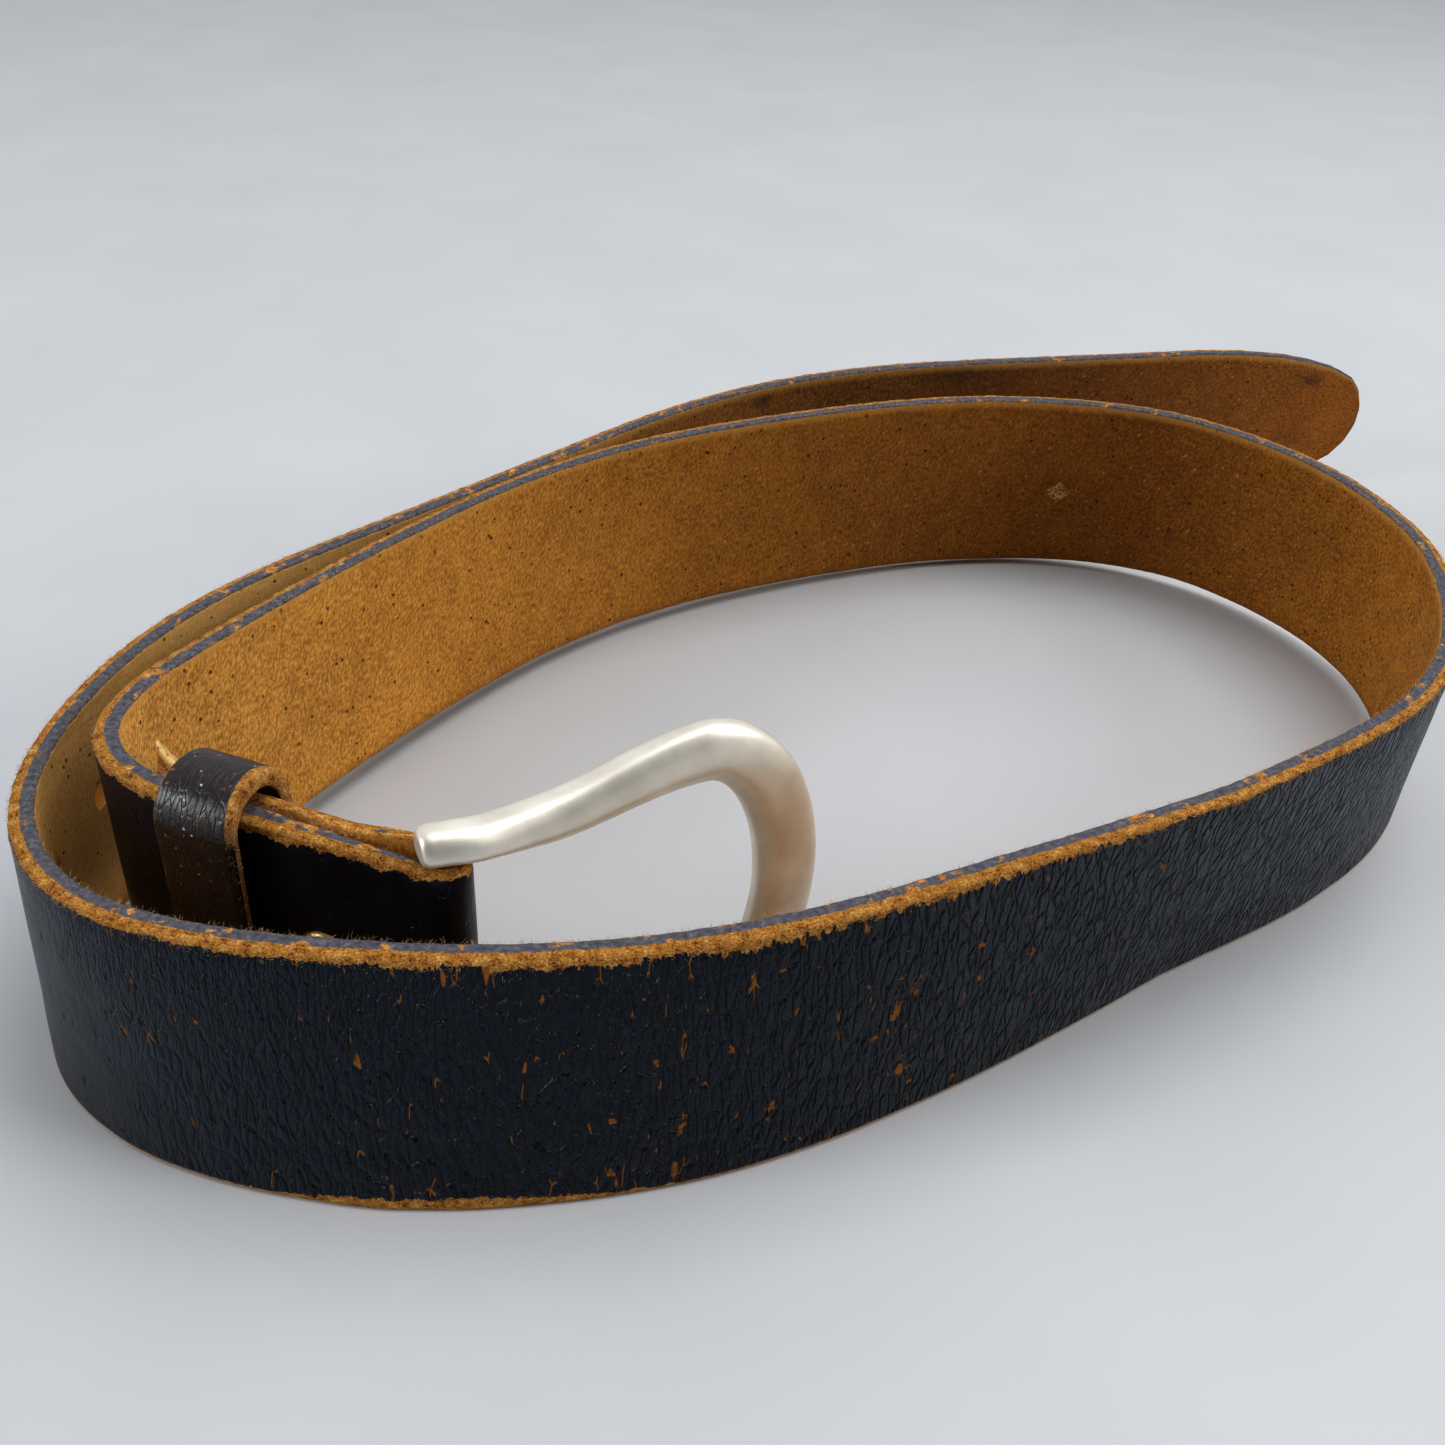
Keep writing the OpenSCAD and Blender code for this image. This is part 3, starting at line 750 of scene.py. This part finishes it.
def cut_holes(obj):
    shapes = []
    for k, (s, z) in enumerate(HOLES):
        t = LENGTH - s
        mid = on_strap(t, STRAP_T / 2 + float(lean(t)) * (z / STRAP_W - 0.5))
        h = float(heading(t))
        normal = (math.sin(h), -math.cos(h), 0)
        along = (math.cos(h), math.sin(h), 0)
        ring = [(1.9 * math.cos(a), (2.05 + 0.1 * math.sin(3 * a + k)) * math.sin(a))
                for a in np.linspace(0, 2 * math.pi, 29)[:-1]]
        shapes.append(prism(ring, along, (0, 0, 1), (mid[0], mid[1], z), normal, 8))
    slot = [(SLOT_FROM + SLOT_HALF * math.cos(a), SLOT_HALF * math.sin(a))
            for a in np.radians(np.arange(90, 271, 15))]
    slot += [(SLOT_TO, -SLOT_HALF), (SLOT_TO, SLOT_HALF)]
    shapes.append(prism(slot, (*U, 0), (0, 0, 1), (BAR[0], BAR[1], MID_Z), (*V, 0), 11))
    verts, faces = [], []
    for v, f in shapes:
        base = len(verts)
        verts += v
        faces += [tuple(base + i for i in q) for q in f]
    tool = new_object("hole_tool", verts, faces, False)
    fix_normals(tool)
    lay = tool.data.attributes.new("lay", "FLOAT_VECTOR", "CORNER")
    lay.data.foreach_set("vector", np.tile(RAW_SPOT, len(tool.data.loops)).astype(np.float32))
    m = obj.modifiers.new("holes", "BOOLEAN")
    m.object, m.operation, m.solver = tool, "DIFFERENCE", "EXACT"
    bake(obj)
    bpy.data.objects.remove(tool)


# ---------------- loose fibres
CURL = 0.5


def fibres(name, roots, aims, lengths, widths):
    """Thin three-sided tapering hairs."""
    verts, faces = [], []
    for root, aim, length, width in zip(roots, aims, lengths, widths):
        aim = aim / (np.linalg.norm(aim) + 1e-9)
        side = np.cross(aim, rng.normal(size=3))
        side /= np.linalg.norm(side) + 1e-9
        other = np.cross(aim, side)
        bend = rng.normal(size=2) * CURL
        base = len(verts)
        for k, (s, w) in enumerate(((0.0, 1.0), (0.45, 0.8), (0.8, 0.5), (1.0, 0.12))):
            centre = root + aim * length * s + (side * bend[0] + other * bend[1]) * length * s * s
            for a in (0.0, 2.1, 4.2):
                verts.append(centre + (side * math.cos(a) + other * math.sin(a)) * width * w)
            if k:
                for j in range(3):
                    q, r = base + (k - 1) * 3, base + k * 3
                    faces.append((q + j, q + (j + 1) % 3, r + (j + 1) % 3, r + j))
        faces.append((base + 9, base + 10, base + 11))
        faces.append((base + 2, base + 1, base))
    return new_object(name, np.array(verts), faces)


ROOT_Z = STRAP_W - 0.3      # roots sit a little below the upper edge


def strap_fibres():
    roots, aims, lengths, widths = [], [], [], []

    def add(t, depth, z, out_d, out_z, length, width):
        h = heading(t)
        inward = np.array([np.sin(h), -np.cos(h)])
        along = np.array([np.cos(h), np.sin(h)])
        spot = on_strap(t, depth + float(lean(t)) * (z / STRAP_W - 0.5))
        roots.append(np.array([spot[0], spot[1], z + float(lift(t) + loose_lift(t))]))
        aim = np.array([*(inward * out_d + along * rng.normal() * 0.6), out_z])
        aims.append(aim + rng.normal(size=3) * 0.25)
        lengths.append(length)
        widths.append(width)

    def add_arris(t, drop, spread, out_d, out_z, longest):
        z = STRAP_W - abs(rng.normal()) * drop
        depth = 0.12 if z < STRAP_W - GRAIN_ROUND else spread * rng.random()
        add(t, depth, min(z, ROOT_Z), out_d, out_z, rng.uniform(0.15, longest), 0.026)

    end = LENGTH - 52
    for t in rng.uniform(0, end, 3800):        # inner border of the edge
        d = float(layer_t(t))
        add(t, d - abs(rng.normal()) * 0.25, 37.85, 0.5, 0.6, rng.uniform(0.25, 0.85), 0.022)
    for t in rng.uniform(380, 760, 3200):      # the worn outer arris
        add_arris(t, 0.8, 0.5, -0.7, 0.35, 0.55)
    for t in rng.uniform(0, 60, 900):          # the same next to the buckle
        add_arris(t, 0.5, 0.9, -0.5, 0.5, 0.5)
    for t in rng.uniform(60, end, 1500):       # outer border elsewhere
        add(t, 0.5, ROOT_Z, -0.3, 0.7, rng.uniform(0.12, 0.4), 0.022)
    for t in rng.uniform(60, 460, 1500):       # lower inner border
        add(t, STRAP_T - 0.1, 0.5, 0.8, 0.1, rng.uniform(0.1, 0.3), 0.02)
    for t in rng.uniform(500, 700, 500):       # lower outer arris
        add(t, 0.15, 0.7, -0.8, 0.1, rng.uniform(0.1, 0.28), 0.02)
    for _ in range(9):                         # one longer tuft
        add(463 + rng.normal() * 0.3, 2.6, 37.9, 0.1, 1.0, rng.uniform(1.4, 2.6), 0.035)
    return fibres("strap_fibres", roots, aims, lengths, widths)


def flap_fibres():
    roots, aims, lengths, widths = [], [], [], []
    for t in rng.uniform(0.5, FLAP_END, 1700):
        inner = NOSE_R + float(flap_inner(t))
        thick = float(flap_t(t))
        spot = on_strap(t, inner + thick * rng.uniform(0.05, 0.95))
        h = heading(t)
        roots.append(np.array([spot[0], spot[1], ROOT_Z + float(lift(t))]))
        aim = np.array([np.sin(h) * rng.normal(), -np.cos(h) * rng.normal(), 0.8])
        aims.append(aim + rng.normal(size=3) * 0.4)
        # short near the bar, where the opening frame passes over the edge
        lengths.append(rng.uniform(0.15, 0.6) * (0.35 if t < 11 else 1))
        widths.append(0.026)
    for a in rng.uniform(-90, 90, 260):
        d = np.cos(math.radians(a)) * U + np.sin(math.radians(a)) * V
        spot = BAR + d * rng.uniform(FOLD_R + 0.1, NOSE_R - 0.1)
        roots.append(np.array([spot[0], spot[1], ROOT_Z + RISE]))
        aims.append(np.array([d[0] * 0.3, d[1] * 0.3, 0.8]) + rng.normal(size=3) * 0.3)
        lengths.append(rng.uniform(0.12, 0.35))
        widths.append(0.025)
    return fibres("flap_fibres", roots, aims, lengths, widths)


# ---------------- keeper
K_FRONT = -NOSE_R - 1.6
K_BACK = float(flap_inner(KEEPER_POS) + flap_t(KEEPER_POS)) + 1.6
K_HALF = HALF_W + 2.5
K_STEPS = 180
K_CORNER, K_ROUND = 5.2, 0.55      # radius of the band's four bends, and of its own edges


def keeper_path():
    """Middle line of the band in the plane across the strap: (v, z) and outward direction."""
    v0, v1, h = K_FRONT - KEEPER_T / 2, K_BACK + KEEPER_T / 2, K_HALF + KEEPER_T / 2
    r = K_CORNER
    pts = []
    corners = [((v1 - r, h - r), 0), ((v0 + r, h - r), 90),
               ((v0 + r, -h + r), 180), ((v1 - r, -h + r), 270)]
    for (cx, cz), a0 in corners:
        for a in np.radians(np.linspace(a0, a0 + 90, 13)):
            pts.append((cx + r * math.cos(a), cz + r * math.sin(a)))
    pts = np.array(pts)
    # even spacing, starting at the butt joint in the middle of the back
    loop = np.vstack([[v1, 0.15], pts, [v1, -0.15]])
    dist = np.concatenate([[0], np.cumsum(np.hypot(*np.diff(loop, axis=0).T))])
    s = np.linspace(0, dist[-1], K_STEPS)
    line = np.stack([np.interp(s, dist, loop[:, 0]), np.interp(s, dist, loop[:, 1])], 1)
    tang = np.gradient(line, axis=0)
    tang /= np.linalg.norm(tang, axis=1)[:, None]
    out = np.stack([tang[:, 1], -tang[:, 0]], 1)
    return line, out, s


def make_keeper():
    line, out, s = keeper_path()
    half_t, r = KEEPER_T / 2, K_ROUND

    def flat(places, side):
        return [(r + k * (KEEPER_W - 2 * r), side, 0) for k in places]

    def corner(x, angles):
        return [(x + r * math.cos(math.radians(a)), None, a) for a in angles]

    # the band's section: place across, side from -1 to 1 or None in a corner, corner angle
    ring = (flat(np.linspace(0, 1, 17), 1.0) + corner(KEEPER_W - r, (60, 30))
            + [(KEEPER_W, 0.35, 0), (KEEPER_W, -0.35, 0)] + corner(KEEPER_W - r, (-30, -60))
            + flat(np.linspace(1, 0, 9), -1.0) + corner(r, (-120, -150))
            + [(0, -0.35, 0), (0, 0.35, 0)] + corner(r, (150, 120)))
    n = len(ring)
    verts = np.zeros((len(line), n, 3))
    lay = np.zeros((len(line), n, 3))
    centre_z = HALF_W + float(lift(KEEPER_POS))
    for i, (c, o) in enumerate(zip(line, out)):
        for j, (a, k, ang) in enumerate(ring):
            if k is None:
                off = math.copysign(half_t - r, ang) + r * math.sin(math.radians(ang))
            else:
                off = k * half_t
            crown = 0.16 * math.sin(math.pi * a / KEEPER_W) if off > 0 else 0
            worn = 0.10 * float(rough(s[i] / 1.1, a + off, 5)) * (1 if a > 9.6 or a < 0.6 else 0.25)
            slip = 0.25 * float(field(s[i] / 16, 2.5, 8)) * (a / KEEPER_W - 0.5)
            u = -KEEPER_POS - KEEPER_W / 2 + a + slip + worn * 0.8
            v, z = c + o * (off + crown + worn)
            xy = BAR + u * U + v * V
            verts[i, j] = (xy[0], xy[1], centre_z + z)
            lay[i, j] = (a, s[i], 0.0 if off > 0 else 1.0)
    obj = new_object("keeper_band", verts.reshape(-1, 3), tube_faces(len(line), n))
    mesh = obj.data
    att = mesh.attributes.new("lay", "FLOAT_VECTOR", "POINT")
    att.data.foreach_set("vector", lay.reshape(-1, 3).astype(np.float32).ravel())
    fix_normals(obj)
    return obj


def keeper_fibres():
    line, out, s = keeper_path()
    centre_z = HALF_W + float(lift(KEEPER_POS))
    roots, aims, lengths, widths = [], [], [], []
    for _ in range(1500):
        i = rng.integers(len(line))
        if s[i] > 40 and rng.random() < 0.8:
            continue
        off = rng.uniform(-1.0, 1.0)
        u = -KEEPER_POS + KEEPER_W / 2 - (0.05 if abs(off) < 0.7 else 0.3)
        v, z = line[i] + out[i] * off
        xy = BAR + u * U + v * V
        roots.append(np.array([xy[0], xy[1], centre_z + z]))
        o = out[i] * rng.normal() * 0.6
        xy = U * 0.7 + o[0] * V
        aims.append(np.array([xy[0], xy[1], o[1]]) + rng.normal(size=3) * 0.25)
        lengths.append(rng.uniform(0.12, 0.42))
        widths.append(0.024)
    return fibres("keeper_fibres", roots, aims, lengths, widths)


# ---------------- wire staple
def wire(name, centres, radius, sides=12):
    c = np.array(centres, float)
    tang = np.gradient(c, axis=0)
    tang /= np.linalg.norm(tang, axis=1)[:, None]
    ref = np.array([*U, 0])
    verts = []
    for q, d in zip(c, tang):
        a = np.cross(d, ref)
        a /= np.linalg.norm(a)
        b = np.cross(d, a)
        for k in range(sides):
            w = 2 * math.pi * k / sides
            verts.append(q + radius * (math.cos(w) * a + math.sin(w) * b))
    obj = new_object(name, np.array(verts), tube_faces(len(c), sides))
    fix_normals(obj)
    return obj


STAPLE_HALF, STAPLE_DEPTH, STAPLE_R, STAPLE_BEND = 4.0, 2.1, 0.45, 0.35


def make_staple():
    back = K_BACK + KEEPER_T
    leg = np.linspace(-STAPLE_DEPTH, 0.10, 5)
    turn = np.radians(np.arange(20, 90, 20))

    def bend(a, side):
        drop = STAPLE_BEND * (1 - math.cos(a))
        return back + 0.10 + STAPLE_BEND * math.sin(a), side * (STAPLE_HALF - drop)

    path = [(back + z, -STAPLE_HALF) for z in leg]
    path += [bend(a, -1) for a in turn]
    path += [(back + 0.45, z) for z in np.linspace(-3.6, 3.6, 9)]
    path += [bend(a, 1) for a in turn[::-1]]
    path += [(back + z, STAPLE_HALF) for z in leg[::-1]]
    centre_z = HALF_W + float(lift(KEEPER_POS))
    pts = []
    for v, z in path:
        xy = BAR - KEEPER_POS * U + v * V
        pts.append((xy[0], xy[1], centre_z + z))
    return wire("keeper_wire", pts, STAPLE_R)


# ---------------- rivets
def lathe(name, profile, origin, axis, sides=72):
    """Turn (radius, height) pairs about an axis in the ground plane."""
    axis = np.array([*axis, 0.0])
    side = np.array([-axis[1], axis[0], 0.0])
    up = np.array([0, 0, 1.0])
    verts = [np.array(origin) + axis * h + r * (side * math.cos(w) + up * math.sin(w))
             for r, h in profile for w in np.linspace(0, 2 * math.pi, sides + 1)[:-1]]
    obj = new_object(name, np.array(verts), tube_faces(len(profile), sides))
    fix_normals(obj)
    return obj


def make_rivet(k, u):
    mid = HALF_W + float(lift(u))
    centre = BAR - u * U
    front = (*(centre - NOSE_R * V), mid)
    head = [(0.05, 0.6), (0.4, 0.62), (1.6, 0.64), (1.9, 0.60), (2.1, 0.78), (2.6, 0.98), (3.2, 1.06),
            (3.8, 0.96), (4.25, 0.68), (4.48, 0.34), (4.5, 0.12), (4.35, 0.0)]
    stem = [(1.5, -0.02), (1.5, -4.2), (0.05, -4.2)]
    post = lathe(f"rivet_front_{k}", head + stem, front, -V)
    back = NOSE_R + float(flap_inner(u) + flap_t(u))
    spot = on_strap(u, back)
    cap = [(0.05, 0.02), (4.3, 0.02), (4.5, 0.14), (4.5, 0.36), (4.3, 0.66), (3.8, 0.92), (2.8, 1.05),
           (1.4, 1.10), (0.05, 1.10)]
    rear = lathe(f"rivet_back_{k}", cap, (spot[0], spot[1], mid), V)
    return post, rear


# ---------------- buckle frame and prong
HEEL_HALF, FRONT_HALF, SIDE_LEN, BUCKLE_LEN, FRONT_W = 21.2, 23.0, 33.5, 51.0, 9.2
REACH = BUCKLE_LEN - SIDE_LEN - FRONT_W / 2


def bow(a):
    """How far the frame's middle line stands off the plane of the bar: it sweeps away and back."""
    k = a / BUCKLE_LEN
    heel = 1.3 * (1 - float(smooth((a + 2.6) / 7)))
    return heel - 1.5 * (1 - k) * (1 - 2 * k) - 0.8 * k * (1 - k) - k * (2 * k - 1)


def frame_line():
    """Middle line of the frame: along, height, and the outward direction in its plane."""
    half = []
    for a in np.concatenate([[-2.9, -2.75, -2.4, -1.8, -1.0], np.arange(0, SIDE_LEN - 0.5, 1.4)]):
        z = HEEL_HALF - 0.4 * smooth(a / 15) + (FRONT_HALF - HEEL_HALF + 0.4) * smooth((a - 13) / 19)
        half.append((float(a), float(z), 0.0))
    for q in np.radians(np.arange(0, 90.1, 3)):
        half.append((SIDE_LEN + REACH * math.sin(q), FRONT_HALF * max(0.0, math.cos(q)),
                     math.atan2(FRONT_HALF * math.sin(q), REACH * math.cos(q))))
    return half + [(a, -z, math.pi - d) for a, z, d in half[-2::-1]]


FRAME_SIDES = 32


def frame_section(a):
    """Across and through: a soft crease runs along the near face."""
    w = np.interp(a, [-2.6, 5, 14, SIDE_LEN, 46], [4.7, 4.4, 5.8, 8.0, FRONT_W])
    d = np.interp(a, [-2.6, 0, 4, 12, SIDE_LEN, 46], [5.6, 5.9, 6.3, 6.0, 5.6, 4.9])
    end = max(0.0, 1 - max(0.0, (-1.7 - a) / 1.25) ** 2) ** 0.5
    w, d = w * (0.5 + 0.5 * end), d * (0.5 + 0.5 * end)
    pts = []
    for k in range(FRAME_SIDES):
        q = 2 * math.pi * (k + 0.5) / FRAME_SIDES
        c, s = math.cos(q), math.sin(q)
        x = math.copysign(abs(c) ** 0.72, c)
        y = math.copysign(abs(s) ** 0.72, s)
        # the near face falls away on both sides of a soft crease set inward of its middle
        if s < 0:
            y *= 1 - 0.36 * max(0.0, (x + 0.35) / 1.35) - 0.22 * max(0.0, (-0.35 - x) / 0.65)
        pts.append((x * w / 2, y * d / 2))
    return pts


def in_frame(points, angle):
    """Points given along, through and up from the heel bar's middle, turned to a heading."""
    c, s = math.cos(math.radians(angle)), math.sin(math.radians(angle))
    return np.array([(BAR[0] + a * c - b * s, BAR[1] + a * s + b * c, MID_Z + z) for a, b, z in points])


def make_frame():
    line = frame_line()
    pts = []
    for a, z, d in line:
        for e, b in frame_section(a):
            rise = 2.4 * float(smooth((a - 4) / 38))
            pts.append((a + e * math.sin(d), bow(a) + b, z + e * math.cos(d) + rise))
    obj = new_object("buckle_body", in_frame(pts, FRAME_HEADING), tube_faces(len(line), FRAME_SIDES))
    fix_normals(obj)
    subdivide(obj)
    return obj


PRONG_REACH, PRONG_HALF_T, PRONG_HALF_W = 45.8, 0.78, 2.3


def make_prong():
    """A tongue and its eye, bent from one flat bar."""
    pts, rows, cols = [], 0, 20

    def ring(centre, across, half_b, half_z):
        nonlocal rows
        rows += 1
        for k in range(cols):
            q = 2 * math.pi * (k + 0.5) / cols
            c, s = math.cos(q), math.sin(q)
            y = math.copysign(abs(c) ** 0.6, c) * half_b
            z = math.copysign(abs(s) ** 0.6, s) * half_z
            pts.append((centre[0] + across[0] * y, centre[1] + across[1] * y, z))

    r_mid = FOLD_R + 0.85
    for w in np.radians(np.arange(-60, 246, 9)):     # the eye, open side towards the tongue
        a = w + math.pi / 2
        c, s = math.cos(a), math.sin(a)
        ring((r_mid * c, r_mid * s), (c, s), PRONG_HALF_T, PRONG_HALF_W)
    for x in np.linspace(2.6, PRONG_REACH, 40):
        k = x / PRONG_REACH
        b = -r_mid * (1 - smooth((x - 2) / 9)) - 0.35 * math.sin(math.pi * k)
        end = math.sqrt(max(0.0, 1 - ((x - 43.9) / 2.0) ** 2)) if x > 43.9 else 1
        ring((x, b), (0, 1), (0.8 + 0.4 * float(smooth((x - 3) / 8))) * max(end, 0.25),
             (PRONG_HALF_W - 0.45 * k) * max(end, 0.25))
    obj = new_object("prong_body", in_frame(pts, PRONG_HEADING), tube_faces(rows, cols))
    fix_normals(obj)
    subdivide(obj)
    return obj


# ---------------- build
strap_mat, fibre_mat = strap_material(), fibre_material()
nickel, brass, steel = nickel_material(), rivet_material(), steel_material()

strap = make_strap()
cut_holes(strap)
finish_piece(strap, strap_mat, "strap", "strap_leather", "strap")
finish_piece(strap_fibres(), fibre_mat, "strap", "strap_leather")
finish_piece(flap_fibres(), fibre_mat, "strap", "strap_leather")
finish_piece(make_keeper(), keeper_material(), "keeper", "keeper_leather", "keeper_loop")
finish_piece(keeper_fibres(), fibre_mat, "keeper", "keeper_leather")
finish_piece(make_staple(), steel, "keeper", "staple_steel", "keeper_staple")
finish_piece(make_frame(), nickel, "buckle", "satin_nickel", "buckle_frame")
finish_piece(make_prong(), nickel, "prong", "satin_nickel", "prong")
for number, place in enumerate(RIVETS, 1):
    post_piece, cap_piece = make_rivet(number, place)
    finish_piece(post_piece, brass, "strap", "brassy_rivet", f"rivet_post_{number}")
    finish_piece(cap_piece, brass, "strap", "brassy_rivet", f"rivet_cap_{number}")
heel_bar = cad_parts["heel_bar"]
heel_bar.data.materials.clear()
heel_bar.data.materials.append(steel)

# ---------------- floor, light and camera
FLOOR_HALF, FLOOR_Z = 9000, -0.05
corners = [(x * FLOOR_HALF, y * FLOOR_HALF, FLOOR_Z) for x, y in ((-1, -1), (1, -1), (1, 1), (-1, 1))]
floor = new_object("floor", corners, [(0, 1, 2, 3)], False)
floor.data.materials.append(floor_material())


def soft_light(name, place, aim, size, power, colour):
    data = bpy.data.lights.new(name, "AREA")
    data.shape, data.size, data.size_y = "RECTANGLE", size[0], size[1]
    data.energy, data.color = power, colour
    obj = bpy.data.objects.new(name, data)
    bpy.context.scene.collection.objects.link(obj)
    obj.location = place
    obj.rotation_euler = (Vector(aim) - Vector(place)).to_track_quat("-Z", "Y").to_euler()


soft_light("overhead", (0.35, 0.12, 1.2), (0, 0, 0), (1.0, 0.8), 8, (1.0, 0.985, 0.96))
soft_light("right", (1.15, -0.3, 0.7), (0, 0, 0.02), (0.5, 0.45), 6, (1.0, 0.98, 0.95))
soft_light("left", (-1.2, -0.5, 0.5), (0, 0, 0.02), (0.5, 0.4), 8, (0.97, 0.99, 1.0))

# the world is dim behind the camera and bright behind the belt, like a room with a pale wall
SKY_COLOUR = (0.94, 0.965, 1.0, 1)
SKY_FROM, SKY_TO, SKY_DIM, SKY_BRIGHT = -0.9, 0.4, 0.02, 0.66
world = bpy.data.worlds.new("studio")
bpy.context.scene.world = world
world.use_nodes = True
sky = world.node_tree
ground = sky.nodes["Background"]
ground.inputs[0].default_value = SKY_COLOUR
place = sky.nodes.new("ShaderNodeTexCoord")
parts = sky.nodes.new("ShaderNodeSeparateXYZ")
fade = sky.nodes.new("ShaderNodeMapRange")
fade.interpolation_type = "SMOOTHSTEP"
for number, value in zip(range(1, 5), (SKY_FROM, SKY_TO, SKY_DIM, SKY_BRIGHT)):
    fade.inputs[number].default_value = value
sky.links.new(place.outputs["Generated"], parts.inputs[0])
sky.links.new(parts.outputs["Y"], fade.inputs[0])
sky.links.new(fade.outputs[0], ground.inputs[1])

# the camera solved from the photo: focal length in widths of the picture, place in metres, pitch and roll
SENSOR, FOCAL = 36, 1.0124567
CAMERA_AT = (-0.0306, -0.2367, 0.1551)
PITCH, ROLL = 34.2, 3.0
camera_data = bpy.data.cameras.new("camera")
camera_data.sensor_width = SENSOR
camera_data.lens = SENSOR * FOCAL
camera_data.clip_start = 0.01
camera = bpy.data.objects.new("camera", camera_data)
bpy.context.scene.collection.objects.link(camera)
pitch, roll = math.radians(PITCH), math.radians(ROLL)
forward = Vector((0, math.cos(pitch), -math.sin(pitch)))
level = Vector((1, 0, 0))
above = level.cross(forward)
right = math.cos(roll) * level + math.sin(roll) * above
up = -math.sin(roll) * level + math.cos(roll) * above
turned = Matrix((right, up, -forward)).transposed()
camera.matrix_world = Matrix.Translation(CAMERA_AT) @ turned.to_4x4()
bpy.context.scene.camera = camera
bpy.context.scene.view_settings.view_transform = "Standard"
bpy.context.scene.view_settings.look = "Medium High Contrast"
